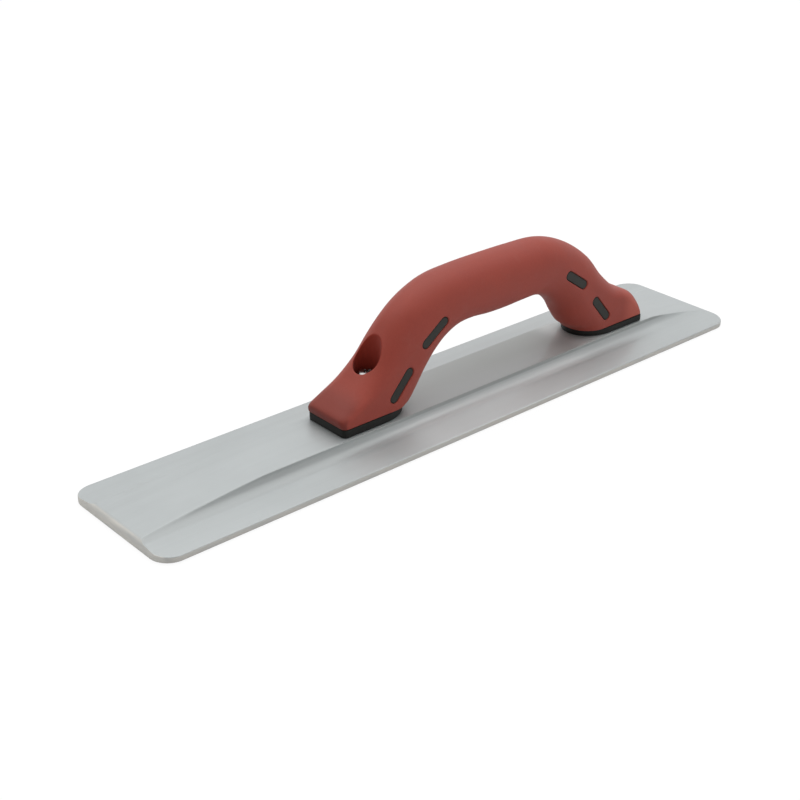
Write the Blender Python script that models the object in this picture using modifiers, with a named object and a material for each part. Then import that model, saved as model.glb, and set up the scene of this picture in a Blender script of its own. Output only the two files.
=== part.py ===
"""Magnesium hand float: an extruded magnesium blade with a two-material handle.

Frame: dimensions below in millimetres, metres in the scene.  Origin at the centre
of the flat working face, +X along the blade towards the rear end of the handle,
+Y across the blade, +Z up.
"""

import math

import bmesh
import bpy
from mathutils import Matrix, Vector

MM = 0.001
INCH = 25.4
SHARP_ANGLE = math.radians(35)
GAP = 0.3  # modelling clearance between neighbouring pieces

# ---- blade: one extrusion with machined ends ---------------------------------
BLADE_LENGTH = 16 * INCH
BLADE_WIDTH = 79.4
BLADE_CORNER_R = 10.8
BLADE_CORNER_SEGMENTS = 8
EDGE_THICKNESS = 3.0
RIB_HEIGHT = 9.8  # top of the central rib, which carries the handle
RIB_HALF_WIDTH = 16.6
RIB_TOP_ROUND = 0.5
RIB_ROUND_STEPS = 3
FILLET_RUN = 8.5  # concave sweep from the rib's side out to the wing
FILLET_STEPS = 10
WING_ROOT_HEIGHT = 4.15
# The extrusion is made oversize, then trimmed to the outline.
SPARE_LENGTH = 3.0  # at each end
SPARE_WIDTH = 1.0  # on each side
OUTLINE_Z = (-5.0, 20.0)

# Machined ends: name, direction along X, x where the ramp leaves the rib's top,
# slope, length of the round at its end, edge height that the round leaves
RAMPS = (
    ("front", -1, -130.5, 0.0635, 3.6, 1.9),
    ("rear", 1, 158.0, 0.13, 1.2, 2.8),
)
RAMP_ROUND_STEPS = 4
# How far the wedge that cuts a ramp reaches
WEDGE_LEAD = 10.0  # back from the ramp's start
WEDGE_OVERRUN = 5.0  # past the blade's end
WEDGE_DIP = 0.5  # below the edge height, beyond the end
WEDGE_RISE = 12.0  # above the rib
WEDGE_HALF_WIDTH = 60.0

# ---- handle ------------------------------------------------------------------
# Stations round the arch: the outer and inner centre-line points, as x, z pairs
STATIONS = (
    # front foot
    (-79.0, 11.0, -30.0, 11.0),
    (-79.4, 14.7, -30.0, 14.7),
    (-79.9, 19.0, -26.2, 16.4),
    (-74.9, 22.9, -22.5, 20.9),
    (-64.9, 29.3, -19.2, 26.0),
    (-54.6, 38.9, -15.2, 31.6),
    (-46.3, 50.6, -9.5, 37.2),
    (-37.5, 61.4, -2.1, 42.1),
    (-25.4, 69.6, 6.4, 45.4),
    (-10.4, 75.2, 16.4, 45.8),
    # bar
    (7.9, 77.0, 27.9, 44.7),
    (29.1, 77.4, 40.3, 44.5),
    (51.5, 77.2, 52.6, 45.1),
    (72.9, 76.0, 63.5, 45.2),
    (91.0, 69.8, 72.2, 42.8),
    # rear foot
    (106.2, 59.1, 79.2, 38.5),
    (117.5, 45.6, 85.6, 32.2),
    (129.3, 35.0, 90.2, 25.0),
    (141.1, 29.3, 94.5, 19.0),
    (146.9, 22.3, 98.9, 15.9),
    (150.4, 13.9, 100.8, 13.9),
    (150.4, 11.0, 100.8, 11.0),
)
LAST_STATION = len(STATIONS) - 1
SKIN_STATIONS = (1, LAST_STATION - 1)  # the soft skin stops one station short at each foot
STEPS_PER_STATION = 2  # loft rings per station
GRIP_WALL = 2.5  # soft skin over the rigid core

# Section: half-widths, and radii as shares of its half-height and half-width
BAR_HALF_WIDTH = 14.9
FOOT_HALF_WIDTH = 15.1
FOOT_CORNER = (0.115, 0.185)  # outer corners at the feet
FOOT_NOSE = (0.60, 0.96)  # the feet end in a half-oval towards each other
FLANGE_NOSE = (0.85, 0.96)  # and the flanges in a longer one
BAR_CORNER = 0.96  # the bar is an oval
SMALLEST_RADIUS = 0.5
CORNER_STEPS = 5
# Stations from a foot's end over which its section becomes the bar's
WIDTH_BLEND = (1.0, 5.0)
RADIUS_BLEND = (1.3, 7.0)

# Flanges of the core: name, station, top, half-width, and how far the flange stands
# out past the skin at the foot's square end
FLANGES = (
    ("front", SKIN_STATIONS[0], 14.4, 14.9, -0.4),
    ("rear", SKIN_STATIONS[1], 13.6, 15.3, 0.1),
)
FLANGE_NOSE_BACK = 1.3  # it stops this far short of the skin's rounded nose

# Hard pads that show through the soft skin: centre x, centre z, length, width,
# tilt in degrees
PADS = (
    (-18.2, 50.4, 20.2, 5.4, 36.0),
    (-40.8, 27.6, 20.2, 5.2, 49.0),
    (89.3, 50.9, 20.1, 4.9, -34.5),
    (112.3, 27.4, 20.6, 4.8, -49.0),
)
PAD_ROOT_Y = 8.0  # a pad stands on the core from here out
PAD_REACH_Y = 20.0
PAD_RECESS = 0.3  # pads sit a little below the skin
PAD_END_SEGMENTS = 5
PAD_END_FLAT = 0.05  # half the flat left between the two rounds of a pad's end

# ---- screw holes -------------------------------------------------------------
SCREW_X = (-51.8, 123.1)  # front, rear
BORE_R = 6.6  # access bore, along the handle
BORE_WIDER = 1.3  # an oval: this much more on each side, across the handle
BORE_SEGMENTS = 36
SLEEVE_WALL = 1.5  # the soft skin turns down into each bore
FLOOR_Z = 29.4  # bottom of the core's recess, under the washer
CLEARANCE_R = 2.75  # through the core
TAPPED_R = 2.75
TAPPED_BOTTOM = 3.0
HOLE_SEGMENTS = 24
# Cutters run past the material that they cut.
BORE_CUT_LOW = 18.0
BORE_CUT_TOP = 90.0
CLEARANCE_CUT_Z = (5.0, 40.0)
TAPPED_CUT_RISE = 5.0  # above the rib

# ---- fasteners: number 10 pan head machine screws with washers ---------------
TURN_STEPS = 24
MERGE_DISTANCE = 0.00001  # metres
WASHER_R = 6.3
WASHER_HOLE_R = 2.75
WASHER_THICKNESS = 1.2
WASHER_CHAMFER = 0.2
WASHER_BOTTOM = FLOOR_Z + GAP
WASHER_TOP = WASHER_BOTTOM + WASHER_THICKNESS
SHANK_R = 2.4
SHANK_END = 4.0
SHANK_CHAMFER = 0.6
HEAD_R = 4.75
HEAD_HEIGHT = 3.0
HEAD_CHAMFER = 0.3
HEAD_BOTTOM = WASHER_TOP + GAP
HEAD_TOP = HEAD_BOTTOM + HEAD_HEIGHT
RIM_HEIGHT = 0.55 * HEAD_HEIGHT  # upright rim, below a low dome
DOME_ANGLES = (0, 25, 45, 62, 76, 90)  # degrees from the dome's top
DRIVE_WIDTH = 1.3  # the drive is two crossed slots
DRIVE_DEPTH = 1.8
DRIVE_SPAN = 5.4
DRIVE_CUT_RISE = 3.0  # above the head


# ---- scene helpers -----------------------------------------------------------
def material(name, colour, roughness, metallic=0.0):
    mat = bpy.data.materials.new(name)
    mat.use_nodes = True
    shader = mat.node_tree.nodes["Principled BSDF"]
    shader.inputs["Base Color"].default_value = (*colour, 1.0)
    shader.inputs["Roughness"].default_value = roughness
    shader.inputs["Metallic"].default_value = metallic
    mat.diffuse_color = (*colour, 1.0)
    return mat


def add_object(name, bm, collection, mat=None):
    """A bmesh in millimetres becomes an object in metres."""
    bmesh.ops.scale(bm, vec=(MM, MM, MM), verts=bm.verts)
    bmesh.ops.recalc_face_normals(bm, faces=bm.faces)
    mesh = bpy.data.meshes.new(name)
    bm.to_mesh(mesh)
    bm.free()
    obj = bpy.data.objects.new(name, mesh)
    collection.objects.link(obj)
    if mat:
        mesh.materials.append(mat)
    mesh.shade_smooth()
    mesh.set_sharp_from_angle(angle=SHARP_ANGLE)
    return obj


def add_cutter(name, bm, cutters):
    """A helper object for booleans, kept out of the render."""
    obj = add_object(name, bm, cutters)
    obj.hide_render = True
    obj.display_type = "WIRE"
    return obj


def boolean(obj, operation, other):
    modifier = obj.modifiers.new(f"{operation.title()} {other.name}", "BOOLEAN")
    modifier.operation = operation
    modifier.object = other
    modifier.solver = "EXACT"


# ---- shape helpers -----------------------------------------------------------
def quarter_angles(steps):
    """Angles from 0 to 90 degrees, both included, in radians."""
    return [math.pi / 2 * i / steps for i in range(steps + 1)]


def share_between(value, low, high):
    """How far value has gone from low to high, held between 0 and 1."""
    return min(max((value - low) / (high - low), 0.0), 1.0)


def extrude(outline, offset):
    """A prism: a flat outline swept along an offset."""
    bm = bmesh.new()
    face = bm.faces.new([bm.verts.new(point) for point in outline])
    swept = bmesh.ops.extrude_face_region(bm, geom=[face])["geom"]
    bmesh.ops.translate(
        bm,
        vec=offset,
        verts=[item for item in swept if isinstance(item, bmesh.types.BMVert)],
    )
    return bm


def block(low, high, bm=None):
    """A box between two corners, in a new mesh or added to one."""
    bm = bm or bmesh.new()
    low, high = Vector(low), Vector(high)
    made = bmesh.ops.create_cube(
        bm,
        size=1.0,
        matrix=Matrix.Translation((low + high) / 2)
        @ Matrix.Diagonal((*(high - low), 1.0)),
    )
    return bm, made["verts"]


def rounded_block(length, width, low, high, radius, segments, bm=None):
    """A box along X and Y with its four upright edges rounded."""
    bm, verts = block(
        (-length / 2, -width / 2, low), (length / 2, width / 2, high), bm
    )
    upright = {
        edge
        for vert in verts
        for edge in vert.link_edges
        if abs((edge.verts[0].co - edge.verts[1].co).z) > 1e-6
    }
    bmesh.ops.bevel(
        bm,
        geom=sorted(upright, key=lambda edge: edge.index),
        offset=radius,
        segments=segments,
        profile=0.5,
        affect="EDGES",
    )
    return bm


def cylinder(x, low, high, radius, segments=HOLE_SEGMENTS, wider=0.0):
    """An upright cylinder, or an oval one that is wider across the handle."""
    bm = bmesh.new()
    bmesh.ops.create_cone(
        bm,
        cap_ends=True,
        segments=segments,
        radius1=radius,
        radius2=radius,
        depth=high - low,
        matrix=Matrix.Translation((x, 0.0, (low + high) / 2))
        @ Matrix.Diagonal((1.0, 1.0 + wider / radius, 1.0, 1.0)),
    )
    return bm


def oval_bore(x, low, radius):
    """An oval cylinder from low to above the handle."""
    return cylinder(x, low, BORE_CUT_TOP, radius, BORE_SEGMENTS, BORE_WIDER)


def loft(rings):
    """Skin a run of matching rings and cap both ends."""
    bm = bmesh.new()
    rows = [[bm.verts.new(point) for point in ring] for ring in rings]
    for row, following in zip(rows, rows[1:]):
        for i in range(len(row)):
            j = (i + 1) % len(row)
            bm.faces.new((row[i], row[j], following[j], following[i]))
    bm.faces.new(rows[0])
    bm.faces.new(list(reversed(rows[-1])))
    return bm


def turned(name, profile, x, collection, mat, ring=False):
    """A solid of revolution about an upright axis at x.

    The profile holds radius, z pairs and runs down the outer side; a ring's is closed.
    """
    bm = bmesh.new()
    verts = [bm.verts.new((radius * MM, 0.0, z * MM)) for radius, z in profile]
    following = verts[1:] + verts[:1] if ring else verts[1:]
    for pair in zip(verts, following):
        bm.edges.new(pair)
    mesh = bpy.data.meshes.new(name)
    bm.to_mesh(mesh)
    bm.free()
    obj = bpy.data.objects.new(name, mesh)
    obj.location.x = x * MM
    collection.objects.link(obj)
    mesh.materials.append(mat)
    turn = obj.modifiers.new("Turn", "SCREW")
    turn.axis = "Z"
    turn.steps = TURN_STEPS
    turn.render_steps = TURN_STEPS
    turn.use_merge_vertices = True
    turn.merge_threshold = MERGE_DISTANCE
    turn.use_smooth_shade = True
    return obj


# ---- blade -------------------------------------------------------------------
def blade_half_section():
    """Points from the centre-line top out to the edge of the working face, as y, z."""
    points = [(0.0, RIB_HEIGHT)]
    for angle in quarter_angles(RIB_ROUND_STEPS):  # small round on the rib's top edge
        points.append(
            (
                RIB_HALF_WIDTH - RIB_TOP_ROUND + RIB_TOP_ROUND * math.sin(angle),
                RIB_HEIGHT - RIB_TOP_ROUND + RIB_TOP_ROUND * math.cos(angle),
            )
        )
    rise = RIB_HEIGHT - WING_ROOT_HEIGHT
    first = math.asin(RIB_TOP_ROUND / rise)  # where the round leaves off
    for i in range(1, FILLET_STEPS + 1):  # a quarter of an ellipse, hollow side up
        angle = first + (math.pi / 2 - first) * i / FILLET_STEPS
        points.append(
            (
                RIB_HALF_WIDTH + FILLET_RUN * (1 - math.cos(angle)),
                RIB_HEIGHT - rise * math.sin(angle),
            )
        )
    side = BLADE_WIDTH / 2 + SPARE_WIDTH
    return points + [(side, EDGE_THICKNESS), (side, 0.0)]


def blade_extrusion():
    half = blade_half_section()
    section = half + [(-y, z) for y, z in reversed(half[1:])]
    x = -BLADE_LENGTH / 2 - SPARE_LENGTH
    return extrude(
        [(x, y, z) for y, z in section], (BLADE_LENGTH + 2 * SPARE_LENGTH, 0.0, 0.0)
    )


def ramp_wedge(direction, start, slope, round_length, edge_height):
    """The wedge cut off the rib between a ramp's start and the blade's end."""
    run = BLADE_LENGTH / 2 - abs(start)
    drop = RIB_HEIGHT - slope * (run - round_length) - edge_height
    profile = [(-WEDGE_LEAD, RIB_HEIGHT + slope * WEDGE_LEAD)]
    for angle in quarter_angles(RAMP_ROUND_STEPS):
        profile.append(
            (
                run - round_length * (1 - math.sin(angle)),
                edge_height + drop * math.cos(angle),
            )
        )
    profile += [
        (run + WEDGE_OVERRUN, edge_height - WEDGE_DIP),
        (run + WEDGE_OVERRUN, RIB_HEIGHT + WEDGE_RISE),
        (-WEDGE_LEAD, RIB_HEIGHT + WEDGE_RISE),
    ]
    return extrude(
        [(start + direction * along, -WEDGE_HALF_WIDTH, z) for along, z in profile],
        (0.0, 2 * WEDGE_HALF_WIDTH, 0.0),
    )


def make_blade(parts, cutters, mat):
    blade = add_object("blade", blade_extrusion(), parts, mat)
    outline = rounded_block(
        BLADE_LENGTH, BLADE_WIDTH, *OUTLINE_Z, BLADE_CORNER_R, BLADE_CORNER_SEGMENTS
    )
    boolean(blade, "INTERSECT", add_cutter("cut_blade_outline", outline, cutters))
    for end, *shape in RAMPS:
        wedge = add_cutter(f"cut_{end}_ramp", ramp_wedge(*shape), cutters)
        boolean(blade, "DIFFERENCE", wedge)
    for i, x in enumerate(SCREW_X):
        hole = cylinder(x, TAPPED_BOTTOM, RIB_HEIGHT + TAPPED_CUT_RISE, TAPPED_R)
        boolean(blade, "DIFFERENCE", add_cutter(f"cut_tapped_hole_{i}", hole, cutters))
    return blade


# ---- handle ------------------------------------------------------------------
def spline(points, position):
    """Catmull-Rom through points at whole values of position."""
    i = min(int(position), len(points) - 2)
    f = position - i
    start, end = points[i], points[i + 1]
    if i > 0:
        before = points[i - 1]
    else:
        before = [2 * a - b for a, b in zip(start, end)]
    if i + 2 < len(points):
        after = points[i + 2]
    else:
        after = [2 * b - a for a, b in zip(start, end)]
    return [
        0.5
        * (
            2 * b
            + (c - a) * f
            + (2 * a - 5 * b + 4 * c - d) * f * f
            + (3 * b - a - 3 * c + d) * f**3
        )
        for a, b, c, d in zip(before, start, end, after)
    ]


def handle_ring(
    station, inset=0.0, end_lip=0.0, nose_back=0.0, half_width=None, nose=FOOT_NOSE
):
    """One closed section of the handle at a station, drawn inwards by inset.

    Its height runs from the arch's inner side to its outer side, its width along Y.
    """
    outer_x, outer_z, inner_x, inner_z = spline(STATIONS, station)
    outer = Vector((outer_x, 0.0, outer_z))
    inner = Vector((inner_x, 0.0, inner_z))
    outward = (outer - inner).normalized()
    outer += outward * end_lip
    inner += outward * nose_back
    centre = (outer + inner) / 2
    from_foot = min(station, LAST_STATION - station)

    height = (outer - inner).length / 2 - inset  # both are half-sizes
    width = FOOT_HALF_WIDTH + (BAR_HALF_WIDTH - FOOT_HALF_WIDTH) * share_between(
        from_foot, *WIDTH_BLEND
    )
    width = (half_width or width) - inset
    blend = share_between(from_foot, *RADIUS_BLEND)

    def radii(foot_shares):
        """Radii along the section's height and width, in millimetres."""
        return [
            max((foot + (BAR_CORNER - foot) * blend) * (size + inset) - inset, SMALLEST_RADIUS)
            for foot, size in zip(foot_shares, (height, width))
        ]

    corner_h, corner_w = radii(FOOT_CORNER)
    nose_h, nose_w = radii(nose)
    angles = quarter_angles(CORNER_STEPS)
    half = [
        (
            height - corner_h + corner_h * math.cos(angle),
            width - corner_w + corner_w * math.sin(angle),
        )
        for angle in angles
    ]
    half.append(((nose_h - corner_h) / 2, width))  # midway along the straight side
    half += [
        (
            -height + nose_h - nose_h * math.sin(angle),
            width - nose_w + nose_w * math.cos(angle),
        )
        for angle in angles
    ]
    mirrored = [(out, -across) for out, across in reversed(half)]
    ring = [(height, 0.0)] + half + [(-height, 0.0)] + mirrored
    return [centre + outward * out + Vector((0.0, across, 0.0)) for out, across in ring]


def handle_loft(inset, first=0, last=LAST_STATION):
    count = (last - first) * STEPS_PER_STATION
    return loft(
        [handle_ring(first + i / STEPS_PER_STATION, inset) for i in range(count + 1)]
    )


def foot_flange(station, top, half_width, end_lip):
    """The foot's outline with a lip, drawn straight down to just above the rib."""
    outline = handle_ring(
        station,
        end_lip=end_lip,
        nose_back=FLANGE_NOSE_BACK,
        half_width=half_width,
        nose=FLANGE_NOSE,
    )
    return loft(
        [
            [Vector((point.x, point.y, z)) for point in outline]
            for z in (RIB_HEIGHT + GAP, top)
        ]
    )


def pad_prisms(pad, grow=0.0):
    """Stadium-ended bars standing out on both sides of the handle, at a pad's place."""
    x, z, length, width, tilt = pad
    bm = bmesh.new()
    for low, high in ((PAD_ROOT_Y, PAD_REACH_Y), (-PAD_REACH_Y, -PAD_ROOT_Y)):
        rounded_block(
            length + 2 * grow,
            width + 2 * grow,
            low,
            high,
            width / 2 + grow - PAD_END_FLAT,
            PAD_END_SEGMENTS,
            bm,
        )
    bmesh.ops.transform(
        bm,
        matrix=Matrix.Translation((x, 0.0, z))
        @ Matrix.Rotation(-math.radians(tilt), 4, "Y")
        @ Matrix.Rotation(math.radians(90), 4, "X"),
        verts=bm.verts,
    )
    return bm


def make_core(parts, cutters, mat):
    """The rigid core, with its flanges, pads and screw seats."""
    core = add_object("handle_core", handle_loft(GRIP_WALL + GAP), parts, mat)
    for end, *shape in FLANGES:
        flange = add_cutter(f"add_{end}_flange", foot_flange(*shape), cutters)
        boolean(core, "UNION", flange)
    envelope = add_cutter("keep_inside_skin", handle_loft(PAD_RECESS), cutters)
    for i, pad in enumerate(PADS):
        raised = add_cutter(f"add_pads_{i}", pad_prisms(pad), cutters)
        boolean(raised, "INTERSECT", envelope)
        boolean(core, "UNION", raised)
    for i, x in enumerate(SCREW_X):
        recess = oval_bore(x, FLOOR_Z, BORE_R + SLEEVE_WALL + GAP)
        boolean(core, "DIFFERENCE", add_cutter(f"cut_core_recess_{i}", recess, cutters))
        through = cylinder(x, *CLEARANCE_CUT_Z, CLEARANCE_R)
        boolean(core, "DIFFERENCE", add_cutter(f"cut_clearance_{i}", through, cutters))
    return core


def make_grip(parts, cutters, mat):
    """The soft skin, with a sleeve down each bore and windows for the pads."""
    grip = add_object("grip_overmold", handle_loft(0.0, *SKIN_STATIONS), parts, mat)
    cavity = add_cutter("cut_grip_cavity", handle_loft(GRIP_WALL), cutters)
    for i, x in enumerate(SCREW_X):
        sleeve = oval_bore(x, FLOOR_Z + GAP, BORE_R + SLEEVE_WALL)
        boolean(cavity, "DIFFERENCE", add_cutter(f"keep_sleeve_{i}", sleeve, cutters))
    boolean(grip, "DIFFERENCE", cavity)
    for i, pad in enumerate(PADS):
        window = add_cutter(f"cut_window_{i}", pad_prisms(pad, GAP), cutters)
        boolean(grip, "DIFFERENCE", window)
    for i, x in enumerate(SCREW_X):
        bore = add_cutter(f"cut_bore_{i}", oval_bore(x, BORE_CUT_LOW, BORE_R), cutters)
        boolean(grip, "DIFFERENCE", bore)
    return grip


# ---- fasteners ---------------------------------------------------------------
def make_screw(end, x, parts, cutters, mat):
    """A pan head screw with a cross drive."""
    profile = [
        (
            HEAD_R * math.sin(math.radians(angle)),
            HEAD_BOTTOM
            + RIM_HEIGHT
            + (HEAD_HEIGHT - RIM_HEIGHT) * math.cos(math.radians(angle)),
        )
        for angle in DOME_ANGLES
    ]
    profile += [
        (HEAD_R, HEAD_BOTTOM + HEAD_CHAMFER),
        (HEAD_R - HEAD_CHAMFER, HEAD_BOTTOM),
        (SHANK_R, HEAD_BOTTOM),
        (SHANK_R, SHANK_END + SHANK_CHAMFER),
        (SHANK_R - SHANK_CHAMFER, SHANK_END),
        (0.0, SHANK_END),
    ]
    screw = turned(f"{end}_screw", profile, x, parts, mat)
    for slot, size_x, size_y in (
        ("slot_a", DRIVE_SPAN, DRIVE_WIDTH),
        ("slot_b", DRIVE_WIDTH, DRIVE_SPAN),
    ):
        bm, _ = block(
            (x - size_x / 2, -size_y / 2, HEAD_TOP - DRIVE_DEPTH),
            (x + size_x / 2, size_y / 2, HEAD_TOP + DRIVE_CUT_RISE),
        )
        boolean(screw, "DIFFERENCE", add_cutter(f"cut_{end}_{slot}", bm, cutters))
    return screw


def make_washer(end, x, parts, mat):
    profile = [
        (WASHER_HOLE_R, WASHER_TOP),
        (WASHER_R - WASHER_CHAMFER, WASHER_TOP),
        (WASHER_R, WASHER_TOP - WASHER_CHAMFER),
        (WASHER_R, WASHER_BOTTOM + WASHER_CHAMFER),
        (WASHER_R - WASHER_CHAMFER, WASHER_BOTTOM),
        (WASHER_HOLE_R, WASHER_BOTTOM),
    ]
    return turned(f"{end}_washer", profile, x, parts, mat, ring=True)


# ---- build -------------------------------------------------------------------
def main():
    for obj in list(bpy.data.objects):
        bpy.data.objects.remove(obj, do_unlink=True)
    parts = bpy.data.collections.new("magnesium_hand_float")
    cutters = bpy.data.collections.new("cutters")
    for collection in (parts, cutters):
        bpy.context.scene.collection.children.link(collection)

    magnesium = material(
        "magnesium", colour=(0.50, 0.53, 0.54), roughness=0.38, metallic=1.0
    )
    black = material("hard_plastic", colour=(0.020, 0.024, 0.022), roughness=0.45)
    red = material("soft_grip", colour=(0.33, 0.065, 0.05), roughness=0.62)
    zinc = material("zinc_plate", colour=(0.62, 0.62, 0.60), roughness=0.25, metallic=1.0)

    tool = bpy.data.objects.new("hand_float", None)
    parts.objects.link(tool)
    made = [
        make_blade(parts, cutters, magnesium),
        make_core(parts, cutters, black),
        make_grip(parts, cutters, red),
    ]
    for end, x in zip(("front", "rear"), SCREW_X):
        made.append(make_screw(end, x, parts, cutters, zinc))
        made.append(make_washer(end, x, parts, zinc))
    for obj in made:
        obj.parent = tool


main()
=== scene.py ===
"""A magnesium hand float: a flat extruded blade with a raised rib, under an arched soft grip.

The blade's underside is on z = 0 and its length runs along X, centred on the origin; the
front is at -X.  Lengths are in millimetres until a mesh is made, and in metres in the
materials and the scene.
"""

import math

import bmesh
import bpy
import numpy as np
from mathutils import Matrix, Vector
from mathutils.geometry import delaunay_2d_cdt


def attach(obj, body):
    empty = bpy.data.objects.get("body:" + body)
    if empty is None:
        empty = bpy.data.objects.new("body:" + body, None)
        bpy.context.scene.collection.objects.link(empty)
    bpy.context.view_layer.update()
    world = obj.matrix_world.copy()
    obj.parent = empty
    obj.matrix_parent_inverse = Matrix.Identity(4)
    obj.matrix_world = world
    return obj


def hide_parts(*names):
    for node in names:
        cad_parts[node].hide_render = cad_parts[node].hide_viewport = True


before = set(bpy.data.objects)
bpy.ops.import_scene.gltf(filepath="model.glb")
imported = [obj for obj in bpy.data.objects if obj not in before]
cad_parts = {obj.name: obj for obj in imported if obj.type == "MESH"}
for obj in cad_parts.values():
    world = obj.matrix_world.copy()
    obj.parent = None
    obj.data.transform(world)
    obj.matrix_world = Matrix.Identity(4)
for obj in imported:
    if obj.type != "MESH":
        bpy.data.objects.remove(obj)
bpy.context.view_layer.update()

MM = 0.001

# ---- blade sizes ------------------------------------------------------------
BLADE_LENGTH = 406.4
BLADE_WIDTH = 79.4
BLADE_CORNER_RADIUS = 10.8
RIB_HEIGHT = 9.8
RIB_HALF_WIDTH = 16.6
RIB_TOP_ROUND = 0.5
FILLET_RUN = 8.5
WING_ROOT_HEIGHT = 4.15
EDGE_THICKNESS = 3.0
EDGE_ROUND = 0.6
# milled ramps: way along X, start x, slope, length of the rounded tip, height at the end
RAMPS = (
    (-1.0, -130.5, 0.0635, 3.6, 1.9),
    (1.0, 158.0, 0.13, 1.2, 2.8),
)
# distances in from the side edge, closing up towards it
EDGE_INSETS = np.array([1.3, 0.85, 0.55, 0.34, 0.19, 0.08, 0.02, 0.0])

# ---- handle sizes -----------------------------------------------------------
GAP = 0.3
GRIP_WALL = 2.5
HALF_WIDTH = 14.9
FOOT_HALF_WIDTH = 15.1
# the arch from the front foot to the rear: outer x, outer z, inner x, inner z
STATIONS = np.array(
    (
        (-79.0, 11.0, -30.0, 11.0),
        (-79.4, 14.7, -30.0, 14.7),
        (-79.9, 19.0, -26.2, 16.4),
        (-74.9, 22.9, -22.5, 20.9),
        (-64.9, 29.3, -19.2, 26.0),
        (-54.6, 38.9, -15.2, 31.6),
        (-46.3, 50.6, -9.5, 37.2),
        (-37.5, 61.4, -2.1, 42.1),
        (-25.4, 69.6, 6.4, 45.4),
        (-10.4, 75.2, 16.4, 45.8),
        (7.9, 77.0, 27.9, 44.7),
        (29.1, 77.4, 40.3, 44.5),
        (51.5, 77.2, 52.6, 45.1),
        (72.9, 76.0, 63.5, 45.2),
        (91.0, 69.8, 72.2, 42.8),
        (106.2, 59.1, 79.2, 38.5),
        (117.5, 45.6, 85.6, 32.2),
        (129.3, 35.0, 90.2, 25.0),
        (141.1, 29.3, 94.5, 19.0),
        (146.9, 22.3, 98.9, 15.9),
        (150.4, 13.9, 100.8, 13.9),
        (150.4, 11.0, 100.8, 11.0),
    )
)
LAST = len(STATIONS) - 1
# the skin stops one station short of each end
SKIN_START = 1.0
SKIN_END = LAST - 1.0

# corner radii as shares of a section's half depth and half width
FOOT_CORNER = (0.115, 0.185)  # on the outer side, at the feet
FOOT_NOSE = (0.60, 0.96)  # on the inner side, at the feet
BAR_CORNER = 0.96  # everywhere on the bar
# stations from a foot where its section starts and stops turning into the bar's
BLEND_FROM = 1.3
BLEND_TO = 7.0
BLEND_EASE = 0.12

# flanges under the feet: station, top z, half width, lip beyond the outer end
FLANGES = (
    (1, 14.4, 14.9, -0.4),
    (LAST - 1, 13.6, 15.3, 0.1),
)
FLANGE_NOSE = (0.85, 0.96)
FLANGE_NOSE_BACK = 1.3
FLANGE_ROUND = 0.45

# inlaid pads on both sides: x, z, length, width, tilt in degrees
PADS = (
    (-18.2, 50.4, 20.2, 5.4, 36.0),
    (-40.8, 27.6, 20.2, 5.2, 49.0),
    (89.3, 50.9, 20.1, 4.9, -34.5),
    (112.3, 27.4, 20.6, 4.8, -49.0),
)
PAD_STATIONS = ((6.0, 9.8), (2.0, 6.0), (12.8, 16.0), (16.0, 19.4))
PAD_ROOT_Y = 8.0
PAD_RECESS = 0.3
PAD_ROUND = 0.45
WINDOW_ROUND = 0.55

# ---- screws and their bores -------------------------------------------------
SCREW_X = (-51.8, 123.1)
BORE_STATIONS = ((3.6, 7.2), (15.2, 18.4))
BORE_RADIUS = 6.6
BORE_WIDER = 1.3  # added to a bore's radius across the handle
BORE_ROUND = 0.6
SLEEVE_WALL = 1.5
FLOOR_Z = 29.4  # seat of the screws in the core
CLEARANCE_RADIUS = 2.75
SHANK_RADIUS = 2.4
SHANK_END = 4.0
THREAD_TOP = 16.0
THREAD_PITCH = 1.06
THREAD_DEPTH = 0.45
HEAD_RADIUS = 4.75
HEAD_HEIGHT = 3.0
WASHER_RADIUS = 6.3
WASHER_HOLE_RADIUS = CLEARANCE_RADIUS
WASHER_THICKNESS = 1.2
WASHER_ROUND = 0.16
TURNED_STEPS = 96


# ---- mesh helpers -----------------------------------------------------------
def add_object(name, data):
    obj = bpy.data.objects.new(name, data)
    bpy.context.scene.collection.objects.link(obj)
    return obj


def object_from_bmesh(name, bm):
    mesh = bpy.data.meshes.new(name)
    bm.to_mesh(mesh)
    bm.free()
    return add_object(name, mesh)


def new_piece(name, verts, faces, material, sharp=40.0):
    """A mesh object from millimetre points."""
    mesh = bpy.data.meshes.new(name)
    points = [tuple(point) for point in np.asarray(verts, float) * MM]
    mesh.from_pydata(points, [], [tuple(face) for face in faces])
    mesh.validate()
    bm = bmesh.new()
    bm.from_mesh(mesh)
    bmesh.ops.recalc_face_normals(bm, faces=bm.faces)
    bm.to_mesh(mesh)
    bm.free()
    obj = add_object(name, mesh)
    mesh.materials.append(material)
    shade(obj, sharp)
    return obj


def shade(obj, sharp):
    """Smooth shading, with edges steeper than an angle in degrees kept sharp."""
    obj.data.shade_smooth()
    obj.data.set_sharp_from_angle(angle=math.radians(sharp))


def apply_modifiers(obj):
    graph = bpy.context.evaluated_depsgraph_get()
    graph.update()
    mesh = bpy.data.meshes.new_from_object(obj.evaluated_get(graph))
    old = obj.data
    obj.modifiers.clear()
    obj.data = mesh
    bpy.data.meshes.remove(old)
    mesh.name = obj.name


def combine(obj, operation, others):
    """Exact Booleans, applied at once, and the tools removed."""
    for other in others:
        modifier = obj.modifiers.new("Boolean", "BOOLEAN")
        modifier.operation = operation
        modifier.object = other
        modifier.solver = "EXACT"
    apply_modifiers(obj)
    for other in others:
        bpy.data.objects.remove(other, do_unlink=True)


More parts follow.
